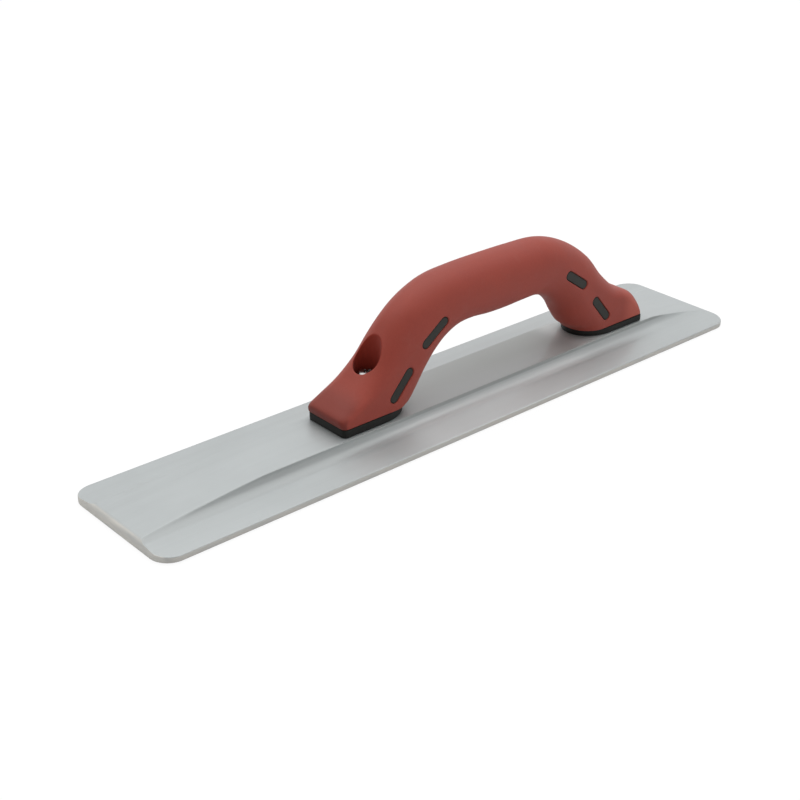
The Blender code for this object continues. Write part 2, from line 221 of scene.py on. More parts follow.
def cylinder_tool(x, low, high, radius, segments=96, wider=0.0):
    """An upright cylinder over x, whose radius along Y may be wider."""
    bm = bmesh.new()
    place = Matrix.Translation((x * MM, 0.0, (low + high) / 2 * MM))
    bmesh.ops.create_cone(
        bm,
        cap_ends=True,
        segments=segments,
        radius1=radius * MM,
        radius2=radius * MM,
        depth=(high - low) * MM,
        matrix=place @ Matrix.Diagonal((1.0, 1.0 + wider / radius, 1.0, 1.0)),
    )
    return object_from_bmesh("tool", bm)


def bands(faces, ring, other):
    """Adds quads between two matching rings."""
    for i in range(len(ring)):
        j = (i + 1) % len(ring)
        faces.append((ring[i], ring[j], other[j], other[i]))


def tube_solid(rings):
    """Rings skinned into a closed solid, with flat ends."""
    count = len(rings[0])
    faces = []
    for k in range(len(rings) - 1):
        ring = np.arange(k * count, (k + 1) * count)
        bands(faces, ring, ring + count)
    faces.append(tuple(range(count)))
    faces.append(tuple(reversed(range((len(rings) - 1) * count, len(rings) * count))))
    return np.concatenate(rings), faces


def smooth_step(value):
    value = np.clip(value, 0.0, 1.0)
    return value * value * (3.0 - 2.0 * value)


# ---- node helpers -----------------------------------------------------------
def rgb(red, green, blue):
    return (red, green, blue, 1.0)


def add_node(tree, kind, inputs, **settings):
    """A new shader node; each input takes a socket to link or a plain value."""
    node = tree.nodes.new("ShaderNode" + kind)
    for name, value in settings.items():
        setattr(node, name, value)
    for key, value in inputs.items():
        plug(tree, value, node.inputs[key])
    return node


def plug(tree, value, socket):
    if isinstance(value, bpy.types.NodeSocket):
        tree.links.new(value, socket)
    else:
        socket.default_value = value


class Material:
    """A new material with short ways to add nodes to it."""

    def __init__(self, name):
        self.material = bpy.data.materials.new(name)
        self.material.use_nodes = True
        self.tree = self.material.node_tree
        self.shader = self.tree.nodes["Principled BSDF"]
        self.coords = self.add("TexCoord", {}).outputs["Object"]

    def add(self, kind, inputs, **settings):
        return add_node(self.tree, kind, inputs, **settings)

    def finish(self, **values):
        """Fills in the main shader, with underscores for the spaces in input names."""
        for name, value in values.items():
            plug(self.tree, value, self.shader.inputs[name.replace("_", " ")])
        return self.material

    def scaled(self, scale):
        """Object coordinates in metres, scaled: 1000 makes one unit a millimetre."""
        if isinstance(scale, float):
            scale = (scale, scale, scale)
        return self.add("Mapping", {"Vector": self.coords, "Scale": scale}).outputs["Vector"]

    def noise(self, scale, detail=3.0, rough=0.5):
        inputs = {
            "Vector": self.scaled(scale),
            "Scale": 1.0,
            "Detail": detail,
            "Roughness": rough,
        }
        return self.add("TexNoise", inputs).outputs["Fac"]

    def cells(self, scale):
        inputs = {"Vector": self.scaled(scale), "Scale": 1.0}
        return self.add("TexVoronoi", inputs).outputs["Distance"]

    def remap(self, value, over, to=(0.0, 1.0), kind="LINEAR"):
        """Carries the range `over` onto the range `to`, clamped."""
        inputs = {
            "Value": value,
            "From Min": over[0],
            "From Max": over[1],
            "To Min": to[0],
            "To Max": to[1],
        }
        return self.add("MapRange", inputs, interpolation_type=kind).outputs["Result"]

    def fade(self, value, over, to=(0.0, 1.0)):
        """A remap with soft ends."""
        return self.remap(value, over, to, "SMOOTHSTEP")

    def calc(self, operation, *values):
        return self.add("Math", dict(enumerate(values)), operation=operation).outputs[0]

    def times(self, product, *factors):
        for factor in factors:
            product = self.calc("MULTIPLY", product, factor)
        return product

    def mix(self, amount, base, colour):
        # inputs 6 and 7 and output 2 are the colour sockets
        inputs = {"Factor": amount, 6: base, 7: colour}
        return self.add("Mix", inputs, data_type="RGBA", blend_type="MIX").outputs[2]

    def axis(self, name):
        return self.add("SeparateXYZ", {0: self.coords}).outputs[name]

    def normal(self, name):
        normal = self.add("NewGeometry", {}).outputs["Normal"]
        return self.add("SeparateXYZ", {0: normal}).outputs[name]

    def bump(self, height, strength, distance, **under):
        """A bump, over another one given as Normal if there is one."""
        inputs = {"Height": height, "Strength": strength, "Distance": distance, **under}
        return self.add("Bump", inputs).outputs["Normal"]


# ---- magnesium --------------------------------------------------------------
RIB_TOP_Z = (0.0093, 0.0097)  # metres over which the painted shade and painted light on the rib's top come in


def magnesium_streaks(mat, die_lines, cloud):
    """Satin grey, clouded, streaked along the blade and lightly specked."""
    broad_lines = mat.noise(scale=(2.0, 160.0, 160.0), detail=2.0)
    speck = mat.cells(scale=(210.0, 420.0, 420.0))
    clouded = mat.remap(cloud, over=(0.32, 0.68))
    base = mat.mix(clouded, rgb(0.47, 0.495, 0.492), rgb(0.51, 0.535, 0.532))
    dark_streaks = mat.remap(broad_lines, over=(0.35, 0.7), to=(0.0, 0.30))
    base = mat.mix(dark_streaks, base, rgb(0.43, 0.452, 0.45))
    pale_streaks = mat.remap(die_lines, over=(0.45, 0.75), to=(0.0, 0.18))
    base = mat.mix(pale_streaks, base, rgb(0.58, 0.605, 0.61))
    specks = mat.remap(speck, over=(0.10, 0.04), to=(0.0, 0.22))
    return mat.mix(specks, base, rgb(0.33, 0.34, 0.33))


def magnesium_upper_painted_shade_and_light(mat, base, x, y, z, sideways, near):
    """Painted shade on the rib's top between the feet, and painted light on it under the rear
    foot and on the wing beside the grip.
    """
    # painted shade: darker on the rib's top between the feet, where the grip's arch shades it
    painted_shade_between_feet = mat.times(
        mat.fade(x, over=(-0.075, -0.030)),
        mat.fade(x, over=(0.148, 0.100)),
        mat.fade(z, over=RIB_TOP_Z),
        mat.fade(sideways, over=(0.16, 0.05)),
        mat.fade(x, over=(0.082, 0.100), to=(1.0, 0.15)),
        mat.fade(y, over=(-0.016, 0.004), to=(0.40, 1.05)),
        mat.remap(x, over=(0.0, 0.045), to=(0.75, 0.98)),
    )
    base = mat.mix(painted_shade_between_feet, base, rgb(0.385, 0.40, 0.385))
    # painted light: paler where the top runs in under the rear foot
    painted_light_rear_foot = mat.times(
        mat.fade(x, over=(0.088, 0.100), to=(0.0, 0.36)),
        mat.fade(x, over=(0.130, 0.110)),
        mat.fade(z, over=RIB_TOP_Z),
    )
    base = mat.mix(painted_light_rear_foot, base, rgb(0.80, 0.82, 0.80))
    # painted light: a paler wing beside the grip on the -Y side, lifting the grip's shade
    wing = mat.times(
        mat.fade(x, over=(-0.060, -0.028), to=(0.0, 0.66)),
        mat.fade(x, over=(0.116, 0.020)),
        near,
        mat.fade(z, over=(0.0050, 0.0042)),
    )
    return mat.mix(wing, base, rgb(0.70, 0.725, 0.72))


def magnesium_edges(mat, base, x, z):
    """Duller, slightly warm side edges and rounded ends painted paler as painted light; also
    returns where they are.
    """
    side = mat.fade(mat.calc("ABSOLUTE", mat.normal("Z")), over=(0.75, 0.25))
    low = mat.fade(z, over=(0.0034, 0.0028))
    end = mat.fade(mat.calc("ABSOLUTE", x), over=(0.1990, 0.2010))
    tipped = mat.fade(mat.calc("ABSOLUTE", mat.normal("Z")), over=(0.985, 0.80))
    edge = mat.calc("MAXIMUM", mat.times(side, low), mat.times(end, tipped))
    patchy = mat.noise(scale=(60.0, 60.0, 400.0), detail=3.0)
    edge = mat.times(edge, mat.remap(patchy, over=(0.25, 0.6), to=(0.45, 0.95)))
    # the side edges keep their own warm tone; the paler tone of the rounded ends is painted light
    warm = mat.mix(end, rgb(0.66, 0.635, 0.59), rgb(0.82, 0.79, 0.73))
    return mat.mix(edge, base, warm), edge


def magnesium_fillet_painted_shade_and_light(mat, base, x, z, sideways, near):
    """Painted shade on the fillets beside the rib and along the rib's crest, and painted light
    low on the fillets beside the grip.
    """
    fillet = mat.times(
        mat.fade(sideways, over=(0.05, 0.20)),
        mat.fade(z, over=(0.0036, 0.0046)),
    )
    # painted shade: darker towards the front, on the -Y side
    front = mat.times(fillet, mat.fade(x, over=(-0.040, -0.085), to=(0.0, 0.30)), near)
    base = mat.mix(front, base, rgb(0.20, 0.21, 0.205))
    # painted light: paler low down beside the grip, on the -Y side
    painted_light_beside_grip = mat.times(
        mat.fade(x, over=(-0.060, -0.020), to=(0.0, 0.30)),
        mat.fade(x, over=(0.110, 0.080)),
    )
    painted_light_low_down = mat.times(near, mat.fade(z, over=(0.0076, 0.0066)))
    base = mat.mix(mat.times(fillet, painted_light_beside_grip, painted_light_low_down), base, rgb(0.80, 0.82, 0.81))
    # painted shade: a darker line along the crest of the rib
    crest = mat.times(
        mat.fade(sideways, over=(0.06, 0.16)),
        mat.fade(z, over=(0.0078, 0.0086)),
        mat.fade(x, over=(-0.085, -0.045), to=(0.0, 0.40)),
    )
    return mat.mix(crest, base, rgb(0.16, 0.165, 0.155))


def magnesium_material():
    """Bare extruded magnesium: satin grey with die lines along the blade and warmer edges, with
    painted shade and painted light laid into its base colour.
    """
    mat = Material("satin_magnesium")
    x, y, z = mat.axis("X"), mat.axis("Y"), mat.axis("Z")
    die_lines = mat.noise(scale=(3.0, 900.0, 900.0), detail=4.0, rough=0.6)
    cloud = mat.noise(scale=(22.0, 30.0, 30.0), detail=4.0, rough=0.55)
    grain = mat.noise(scale=1600.0, detail=2.0)
    sideways = mat.calc("ABSOLUTE", mat.normal("Y"))
    near = mat.remap(y, over=(0.004, -0.004))  # the -Y half
    base = magnesium_streaks(mat, die_lines, cloud)
    base = magnesium_upper_painted_shade_and_light(mat, base, x, y, z, sideways, near)
    base, edge = magnesium_edges(mat, base, x, z)
    base = magnesium_fillet_painted_shade_and_light(mat, base, x, z, sideways, near)
    roughness = mat.remap(cloud, over=(0.3, 0.7), to=(0.42, 0.50))
    streaky = mat.remap(die_lines, over=(0.3, 0.7), to=(-0.035, 0.035))
    roughness = mat.calc("ADD", roughness, streaky)
    edge_dulling = mat.times(edge, 0.12)
    roughness = mat.calc("ADD", roughness, edge_dulling)
    line_height, grain_height = mat.times(die_lines, 0.6), mat.times(grain, 0.4)
    height = mat.calc("ADD", line_height, grain_height)
    normal = mat.bump(height, strength=0.35, distance=0.00006)
    normal = mat.bump(cloud, strength=0.25, distance=0.0004, Normal=normal)
    return mat.finish(
        Base_Color=base,
        Metallic=0.28,
        Roughness=roughness,
        Normal=normal,
        Coat_Weight=0.42,
        Coat_Roughness=0.16,
    )


# ---- soft red grip ----------------------------------------------------------
def bore_mask(mat, x):
    """1 inside the oval bore over x, 0 outside."""
    along = mat.calc("SUBTRACT", mat.axis("X"), x * MM)
    across = mat.times(mat.axis("Y"), BORE_RADIUS / (BORE_RADIUS + BORE_WIDER))
    squares = mat.calc("ADD", mat.times(along, along), mat.times(across, across))
    radius = mat.calc("SQRT", squares)
    return mat.fade(radius, over=((BORE_RADIUS + 0.5) * MM, (BORE_RADIUS + 0.05) * MM))


def grip_painted_shade_and_light(mat, base, bores):
    """Painted shade in the bores and on the front end face, and painted light on the rear toe and
    the top of the arch's front.
    """
    # painted shade: the bore linings darker and a deeper red
    painted_shade_red = rgb(0.30, 0.030, 0.016)
    painted_bore_shade = mat.times(bores, 0.80)
    base = mat.mix(painted_bore_shade, base, painted_shade_red)
    facing = mat.normal("X")
    # painted shade: the front foot's end face, which faces -X, darker
    painted_shade_front_face = mat.times(
        mat.fade(mat.axis("X"), over=(-0.063, -0.073)),
        mat.fade(facing, over=(-0.15, -0.45), to=(0.0, 0.52)),
    )
    base = mat.mix(painted_shade_front_face, base, rgb(0.10, 0.010, 0.006))
    # painted light: the rear foot's toe and the upward faces of the arch's front half paler
    painted_light_rear_toe = mat.times(
        mat.fade(mat.axis("X"), over=(0.130, 0.142)),
        mat.fade(facing, over=(0.7, 0.1), to=(0.0, 0.55)),
    )
    painted_light_front_arch = mat.times(
        mat.fade(mat.axis("X"), over=(0.010, -0.030), to=(0.0, 0.13)),
        mat.fade(mat.normal("Z"), over=(0.35, 0.70)),
    )
    painted_light_amount = mat.calc("MAXIMUM", painted_light_rear_toe, painted_light_front_arch)
    return mat.mix(painted_light_amount, base, rgb(0.62, 0.13, 0.085))


def grip_material():
    """Soft-touch moulded elastomer: brick red, faintly mottled, with a fine grain, and painted
    shade and painted light laid into its base colour.
    """
    mat = Material("soft_touch_red")
    cloud = mat.noise(scale=35.0, detail=4.0, rough=0.6)
    fine = mat.noise(scale=900.0, detail=3.0, rough=0.6)
    grain = mat.cells(scale=1500.0)
    dust = mat.noise(scale=120.0, detail=5.0, rough=0.65)
    clouded = mat.remap(cloud, over=(0.3, 0.7))
    base = mat.mix(clouded, rgb(0.335, 0.046, 0.028), rgb(0.380, 0.056, 0.034))
    mottled = mat.remap(fine, over=(0.35, 0.75), to=(0.0, 0.25))
    base = mat.mix(mottled, base, rgb(0.26, 0.040, 0.025))
    dusty = mat.remap(dust, over=(0.55, 0.85), to=(0.0, 0.20))
    base = mat.mix(dusty, base, rgb(0.40, 0.12, 0.09))
    bores = mat.calc("MAXIMUM", *[bore_mask(mat, x) for x in SCREW_X])
    base = grip_painted_shade_and_light(mat, base, bores)
    grain_height, fine_height = mat.times(grain, 0.7), mat.times(fine, 0.5)
    height = mat.calc("ADD", grain_height, fine_height)
    return mat.finish(
        Base_Color=base,
        Roughness=mat.remap(cloud, over=(0.3, 0.7), to=(0.52, 0.64)),
        Normal=mat.bump(height, strength=0.35, distance=0.00009),
        Sheen_Weight=0.10,
        Sheen_Roughness=0.5,
        Sheen_Tint=rgb(1.0, 0.85, 0.82),
        Specular_IOR_Level=mat.remap(bores, over=(0.0, 1.0), to=(0.42, 0.12)),
    )


# ---- black plastic and zinc -------------------------------------------------
def plastic_material():
    """The rigid black core, seen as the flange under each foot and the inlaid pads."""
    mat = Material("moulded_black_plastic")
    cloud = mat.noise(scale=60.0, detail=3.0)
    grain = mat.cells(scale=1100.0)
    fine = mat.noise(scale=700.0, detail=3.0)
    clouded = mat.remap(cloud, over=(0.3, 0.7))
    base = mat.mix(clouded, rgb(0.024, 0.0235, 0.019), rgb(0.034, 0.033, 0.027))
    mottled = mat.remap(fine, over=(0.55, 0.8), to=(0.0, 0.25))
    base = mat.mix(mottled, base, rgb(0.05, 0.052, 0.045))
    # painted shade: the flanges sit low under the grip and are painted a darker black than the
    # pads
    low = mat.remap(mat.axis("Z"), over=(0.0155, 0.0148))
    base = mat.mix(low, base, rgb(0.0065, 0.0068, 0.0048))
    return mat.finish(
        Base_Color=base,
        Roughness=mat.remap(cloud, over=(0.3, 0.7), to=(0.42, 0.54)),
        Normal=mat.bump(mat.calc("ADD", grain, fine), strength=0.3, distance=0.00007),
        Specular_IOR_Level=0.33,
    )


def zinc_material(name, dark, pale, roughness):
    """Zinc-plated steel, between two tones of grey."""
    mat = Material(name)
    cloud = mat.noise(scale=300.0, detail=4.0)
    lines = mat.noise(scale=(400.0, 400.0, 5000.0), detail=2.0)
    dark_grey = rgb(dark, dark, dark * 0.97)
    pale_grey = rgb(pale, pale, pale * 0.985)
    return mat.finish(
        Base_Color=mat.mix(mat.remap(cloud, over=(0.3, 0.7)), dark_grey, pale_grey),
        Metallic=1.0,
        Roughness=mat.remap(cloud, over=(0.3, 0.7), to=(roughness, roughness + 0.10)),
        Normal=mat.bump(lines, strength=0.15, distance=0.00004),
    )


# ---- blade ------------------------------------------------------------------
def rib_curve():
    """The upper outline outwards from the rib's edge: lengths along it, and its y and z."""
    rise = RIB_HEIGHT - WING_ROOT_HEIGHT
    angles = np.linspace(0.0, math.pi / 2, 400)
    y = RIB_HALF_WIDTH + FILLET_RUN * (1 - np.cos(angles))
    z = RIB_HEIGHT - rise * np.sin(angles)
    y = np.append(y, BLADE_WIDTH / 2 + 1.0)
    z = np.append(z, EDGE_THICKNESS)
    lengths = np.concatenate([[0.0], np.cumsum(np.hypot(np.diff(y), np.diff(z)))])
    return lengths, y, z


def ramp_height(x):
    """Height that the milled ramps leave at each x."""
    height = np.full_like(x, RIB_HEIGHT)
    for way, start, slope, length, edge in RAMPS:
        run = BLADE_LENGTH / 2 - abs(start)
        along = (x - start) * way
        drop = RIB_HEIGHT - slope * (run - length) - edge
        # a little softening where the cutter enters
        cut = RIB_HEIGHT - slope * 0.5 * (along + np.sqrt(along**2 + 4.0))
        back = np.clip((along - (run - length)) / length, 0.0, 1.0)
        ended = edge + drop * np.sqrt(1.0 - back**2)
        ramp = np.where(along > run - length, np.minimum(ended, cut), cut)
        height = np.minimum(height, ramp)
    return height


def outline_distance(x, y):
    """How far inside the blade's plan outline a point is."""
    over_x = np.abs(x) - (BLADE_LENGTH / 2 - BLADE_CORNER_RADIUS)
    over_y = np.abs(y) - (BLADE_WIDTH / 2 - BLADE_CORNER_RADIUS)
    outside = np.hypot(np.maximum(over_x, 0.0), np.maximum(over_y, 0.0))
    return BLADE_CORNER_RADIUS - outside - np.minimum(np.maximum(over_x, over_y), 0.0)


def edge_drop(distance, radius):
    """Drop of a quarter-round edge at a distance in from it."""
    distance = np.clip(distance, 0.0, radius)
    return radius - np.sqrt(np.maximum(radius**2 - (radius - distance) ** 2, 0.0))


def blade_stations():
    """x of every cross-section, and the blade's half width there."""
    steps = 26
    spacing = 2.0
    angles = np.linspace(math.pi / 2, 0.0, steps + 1)
    corner = BLADE_LENGTH / 2 - BLADE_CORNER_RADIUS * (1 - np.sin(angles))
    middle = np.linspace(-corner[-1], corner[-1], int(2 * corner[-1] / spacing) + 1)
    x = np.concatenate([-corner[:-1], middle, corner[:-1][::-1]])
    over = np.maximum(np.abs(x) - (BLADE_LENGTH / 2 - BLADE_CORNER_RADIUS), 0.0)
    bulge = np.sqrt(np.maximum(BLADE_CORNER_RADIUS**2 - over**2, 0.0))
    return x, BLADE_WIDTH / 2 - BLADE_CORNER_RADIUS + bulge


def blade_section(half_width, top, curve):
    """Upper outline (y, z) from the centre line to the +Y edge, its top cut off flat."""
    lengths, curve_y, curve_z = curve
    top_count, slope_count = ((12, 40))

    def on_curve(length):
        return np.interp(length, lengths, curve_y), np.interp(length, lengths, curve_z)

    # where the flat top meets the extruded outline
    crest = np.interp(-top, -curve_z, lengths)
    end = np.interp(half_width, curve_y, lengths)
    crest = min(crest, end - EDGE_INSETS[0] - 3 * RIB_TOP_ROUND)
    crest_y, crest_z = on_curve(crest)
    round_start = np.array([crest_y - RIB_TOP_ROUND, top])
    corner = np.array([crest_y, min(top, crest_z)])
    below = crest + RIB_TOP_ROUND
    round_end = np.array(on_curve(below))
    points = [(y, top) for y in np.linspace(0.0, round_start[0], top_count)]
    for f in (0.25, 0.5, 0.75):
        point = (1 - f) ** 2 * round_start + 2 * f * (1 - f) * corner + f * f * round_end
        points.append(tuple(point))
    points.append(tuple(round_end))
    stop = np.interp(half_width - EDGE_INSETS[0], curve_y, lengths)
    for f in np.linspace(0.0, 1.0, slope_count)[1:]:
        points.append(on_curve(below + (stop - below) * f))
    for inset in EDGE_INSETS[1:]:
        y = half_width - inset
        points.append((y, np.interp(y, curve_y, curve_z)))
    section = np.array(points)
    section[:, 1] = np.minimum(section[:, 1], top)
    return section


def make_blade(material):
    """The extrusion: an upper and a flat lower sheet joined at the rim, with two screw holes."""
    stations, half_widths = blade_stations()
    curve = rib_curve()
    rows = np.array(
        [
            blade_section(half_width, top, curve)
            for half_width, top in zip(half_widths, ramp_height(stations))
        ]
    )
    y = np.concatenate([-rows[:, :0:-1, 0], rows[:, :, 0]], axis=1)
    z = np.concatenate([rows[:, :0:-1, 1], rows[:, :, 1]], axis=1)
    x = np.repeat(stations[:, None], y.shape[1], axis=1)
    drop = edge_drop(outline_distance(x, y), EDGE_ROUND)
    count_x, count_y = y.shape
    upper = np.stack([x, y, z - drop], axis=-1).reshape(-1, 3)
    lower = np.stack([x, y, drop], axis=-1).reshape(-1, 3)
    index = np.arange(count_x * count_y).reshape(count_x, count_y)
    under = index + count_x * count_y
    faces = []
    for i in range(count_x - 1):
        for j in range(count_y - 1):
            faces.append((index[i, j], index[i + 1, j], index[i + 1, j + 1], index[i, j + 1]))
            faces.append((under[i, j], under[i, j + 1], under[i + 1, j + 1], under[i + 1, j]))
    rim = (
        [(i, 0) for i in range(count_x)]
        + [(count_x - 1, j) for j in range(1, count_y)]
        + [(i, count_y - 1) for i in range(count_x - 2, -1, -1)]
        + [(0, j) for j in range(count_y - 2, 0, -1)]
    )
    bands(faces, [index[place] for place in rim], [under[place] for place in rim])
    verts = np.concatenate([upper, lower])
    blade = new_piece("blade_extrusion", verts, faces, material, sharp=60.0)
    holes = [cylinder_tool(x, 3.0, 20.0, CLEARANCE_RADIUS, segments=48) for x in SCREW_X]
    combine(blade, "DIFFERENCE", holes)
    shade(blade, 60.0)
    return blade


# ---- handle surface ---------------------------------------------------------
# A point of the handle has two coordinates: `along` the arch in stations, and `around`
# the section from -1 to 1, with 0 on its outer side.
def arch_lines(along):
    """Outer and inner x and z on a smooth curve through the stations."""
    i = np.clip(along.astype(int), 0, LAST - 1)
    f = (along - i)[:, None]
    start, end = STATIONS[i], STATIONS[i + 1]
    before = np.where((i > 0)[:, None], STATIONS[np.maximum(i - 1, 0)], 2 * start - end)
    after = np.where(
        (i + 2 <= LAST)[:, None], STATIONS[np.minimum(i + 2, LAST)], 2 * end - start
    )
    return 0.5 * (
        2 * start
        + (end - before) * f
        + (2 * before - 5 * start + 4 * end - after) * f * f
        + (3 * start - before - 3 * end + after) * f**3
    )


def quarter(a, b):
    """Length of a quarter ellipse with half axes a and b."""
    return math.pi / 4 * (3 * (a + b) - np.sqrt((3 * a + b) * (a + 3 * b)))


def bar_blend(from_foot):
    """0 at the feet and 1 on the bar: a straight blend with soft ends."""
    blend = (from_foot - BLEND_FROM) / (BLEND_TO - BLEND_FROM)
    blend = np.clip(blend, 0.0, 1.0)
    ease = BLEND_EASE
    blend = np.where(blend < ease, blend**2 / (2 * ease) + blend / 2, blend)
    eased_end = 1 - ((1 - blend) ** 2 / (2 * ease) + (1 - blend) / 2)
    return np.where(blend > 1 - ease, eased_end, blend)


def skin(
    along, around, inset=0.0, end_lip=0.0, nose_back=0.0, half_width=None, nose=FOOT_NOSE
):
    """Points of the handle's surface, moved in by an inset."""
    coords = np.broadcast_arrays(np.asarray(along, float), around, inset)
    along, around, inset = (np.ravel(values) for values in coords)
    line = arch_lines(along)
    outer, inner = line[:, :2], line[:, 2:]
    length = np.linalg.norm(outer - inner, axis=1)
    up = (outer - inner) / length[:, None]
    half_depth = (length + end_lip - nose_back) / 2
    middle = (outer + inner + up * (end_lip + nose_back)) / 2
    from_foot = np.minimum(along, LAST - along)
    if half_width is None:
        flare = smooth_step((from_foot - 1.0) / 4.0)
        half_width = FOOT_HALF_WIDTH + (HALF_WIDTH - FOOT_HALF_WIDTH) * flare
    blend = bar_blend(from_foot)
    depth, width = half_depth - inset, half_width - inset

    def radii(foot_shares):
        """Depth and width radii of a corner."""
        shares = [share + (BAR_CORNER - share) * blend for share in foot_shares]
        return (
            np.maximum(shares[0] * half_depth - inset, 0.5),
            np.maximum(shares[1] * half_width - inset, 0.5),
        )

    # outer flat, outer corner, side, inner corner and inner flat
    corner_depth, corner_width = radii(FOOT_CORNER)
    nose_depth, nose_width = radii(nose)
    lengths = [
        width - corner_width,
        quarter(corner_depth, corner_width),
        2 * depth - corner_depth - nose_depth,
        quarter(nose_depth, nose_width),
        width - nose_width,
    ]
    travel = np.abs(around) * sum(lengths)
    ends = np.cumsum(lengths, axis=0)
    corner_angle = np.clip((travel - ends[0]) / lengths[1], 0, 1) * math.pi / 2
    nose_angle = np.clip((travel - ends[2]) / lengths[3], 0, 1) * math.pi / 2
    legs = [travel <= ends[0], travel <= ends[1], travel <= ends[2], travel <= ends[3]]
    rise = np.select(
        legs,
        [
            depth,
            depth - corner_depth + corner_depth * np.cos(corner_angle),
            depth - corner_depth - (travel - ends[1]),
            -depth + nose_depth - nose_depth * np.sin(nose_angle),
        ],
        -depth,
    )
    across = np.select(
        legs,
        [
            travel,
            width - corner_width + corner_width * np.sin(corner_angle),
            width,
            width - nose_width + nose_width * np.cos(nose_angle),
        ],
        np.maximum(width - nose_width - (travel - ends[3]), 0.0),
    )
    x = middle[:, 0] + up[:, 0] * rise
    z = middle[:, 1] + up[:, 1] * rise
    return np.stack([x, np.where(around < 0, -across, across), z], axis=-1)


# which two axes an outline is drawn in, and the `around` range where it is looked for
BORE_VIEW = ([0, 1], (-0.42, 0.42))
PAD_VIEW = ([0, 2], (0.15, 0.85))


def locate(targets, view, station_range, inset):
    """(along, around) of the surface points that match each target in the view's axes."""
    axes, around_range = view
    along_grid, around_grid = np.meshgrid(
        np.linspace(*station_range, 120), np.linspace(*around_range, 90), indexing="ij"
    )
    table = skin(along_grid, around_grid, inset)[:, axes]
    nearest = [int(np.argmin(((table - target) ** 2).sum(1))) for target in targets]
    along, around = along_grid.ravel()[nearest].copy(), around_grid.ravel()[nearest].copy()
    step = 1e-4
    # Newton's method, with limited steps
    for _ in range(25):
        here = skin(along, around, inset)[:, axes]
        by_along = (skin(along + step, around, inset)[:, axes] - here) / step
        by_around = (skin(along, around + step, inset)[:, axes] - here) / step
        miss = targets - here
        det = by_along[:, 0] * by_around[:, 1] - by_along[:, 1] * by_around[:, 0]
        det = np.where(np.abs(det) < 1e-9, 1e-9, det)
        move_along = (miss[:, 0] * by_around[:, 1] - miss[:, 1] * by_around[:, 0]) / det
        move_around = (by_along[:, 0] * miss[:, 1] - by_along[:, 1] * miss[:, 0]) / det
        along = along + np.clip(move_along, -0.2, 0.2)
        around = around + np.clip(move_around, -0.05, 0.05)
    return along, around


def oval(x, radius, count):
    """Points round a bore, which is wider across the handle than along it."""
    angles = np.arange(count) * 2 * math.pi / count
    across = (radius + BORE_WIDER) * np.sin(angles)
    return np.stack([x + radius * np.cos(angles), across], axis=-1)


def pad_turn(pad):
    """Cosine and sine of a pad's tilt."""
    return math.cos(math.radians(pad[4])), math.sin(math.radians(pad[4]))


def pad_place(pad, a, b):
    """x and z of points given along (a) and across (b) a pad."""
    cos, sin = pad_turn(pad)
    return pad[0] + a * cos - b * sin, pad[1] + a * sin + b * cos


def stadium(pad, grow, count):
    """Evenly spread points on a pad's outline, grown outwards, as x and z."""
    _, _, length, width, _ = pad
    radius, straight = width / 2 + grow, length / 2 - width / 2
    total = 4 * straight + 2 * math.pi * radius
    points = []
    for travel in (np.arange(count) + 0.5) * total / count:
        for sign in (1, -1):
            if travel < 2 * straight:
                points.append((sign * (straight - travel), sign * radius))
                break
            travel -= 2 * straight
            if travel < math.pi * radius:
                angle = math.pi / 2 + travel / radius
                end = -straight + radius * math.cos(angle)
                points.append((sign * end, sign * radius * math.sin(angle)))
                break
            travel -= math.pi * radius
    points = np.array(points)
    return np.stack(pad_place(pad, points[:, 0], points[:, 1]), axis=-1)


def pad_distance(pad, x, z):
    """Signed distance to a pad's outline, positive outside."""
    pad_x, pad_z, length, width, _ = pad
    cos, sin = pad_turn(pad)
    a = (x - pad_x) * cos + (z - pad_z) * sin
    b = -(x - pad_x) * sin + (z - pad_z) * cos
    straight = length / 2 - width / 2
    return np.hypot(np.maximum(np.abs(a) - straight, 0.0), b) - width / 2


def rim_steps(radius, count):
    """Offsets and drops of a quarter-round rim, from the surface down to the wall."""
    angles = np.linspace(0.0, math.pi / 2, count)
    return list(zip(radius * (1 - np.sin(angles)), radius * (1 - np.cos(angles))))


def foot_round(along, radius=0.45):
    """Inset that rounds the skin's lower edge at each foot."""
    low = np.minimum(along - SKIN_START, SKIN_END - along)
    rise = np.clip(low * 3.6, 0.0, radius)
    return edge_drop(rise, radius)


# ---- triangulated pieces of the surface -------------------------------------
ALONG_SCALE = 13.0  # roughly millimetres per station
AROUND_SCALE = 48.0  # roughly millimetres per unit of `around`


def flatten(along, around):
    return np.stack([along * ALONG_SCALE, around * AROUND_SCALE], axis=-1)


def inside(points, polygon):
    """Which points lie inside a closed polygon."""
    x, y = points[:, 0], points[:, 1]
    hit = np.zeros(len(points), bool)
    for (x1, y1), (x2, y2) in zip(polygon, np.roll(polygon, -1, axis=0)):
        if y1 == y2:
            continue
        crosses = (y1 > y) != (y2 > y)
        hit ^= crosses & (x < (x2 - x1) * (y - y1) / (y2 - y1) + x1)
    return hit


